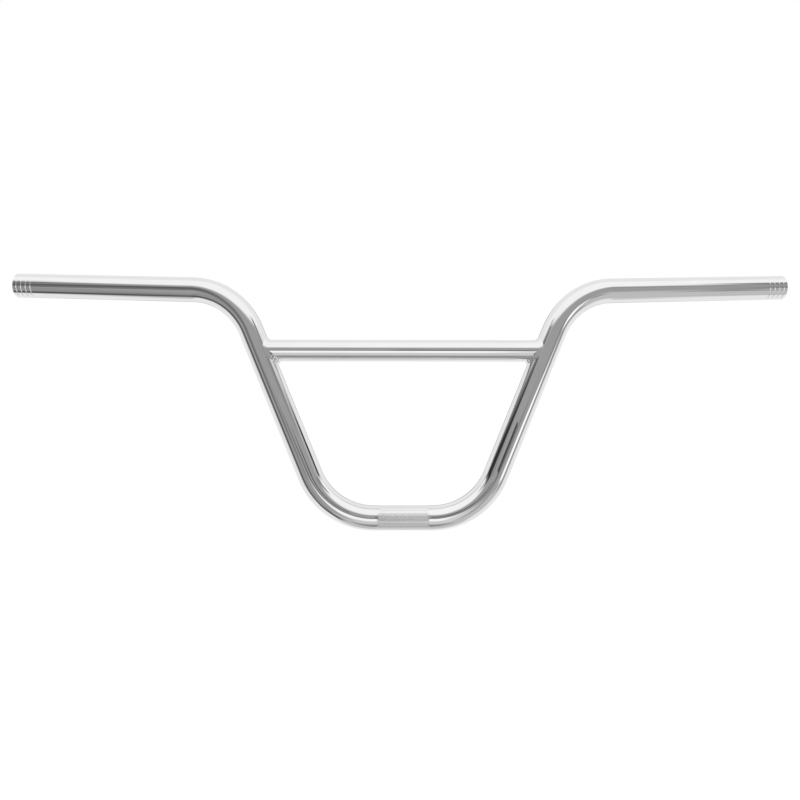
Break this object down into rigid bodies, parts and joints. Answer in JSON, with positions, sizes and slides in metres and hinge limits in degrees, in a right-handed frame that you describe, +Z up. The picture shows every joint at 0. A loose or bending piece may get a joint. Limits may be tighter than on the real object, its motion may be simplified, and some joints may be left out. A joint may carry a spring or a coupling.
{
  "type": "bmx handlebar",
  "caption": "Wide chromed BMX handlebar: one bent tube with rising legs and swept-back grips, braced by a welded crossbar, with a knurled stem clamp zone.",
  "frame": {"origin": "centre of the stem clamp, on the clamp stretch's axis and in the middle of the bar", "axes": "+X along the clamp to the right seen from the front, +Y back to the rider, the way the grips sweep, +Z up"},
  "size_m": [0.7282, 0.0627, 0.2382],
  "materials": {
    "main_tube": "bright chrome plate, knurled satin at the stem clamp",
    "crossbar": "bright chrome plate",
    "weld": "chrome plate over weld ripples"
  },
  "bodies": {
    "root": {"main_tube": "main_tube", "crossbar": "crossbar", "weld_beads": "weld"}
  },
  "joints": []
}
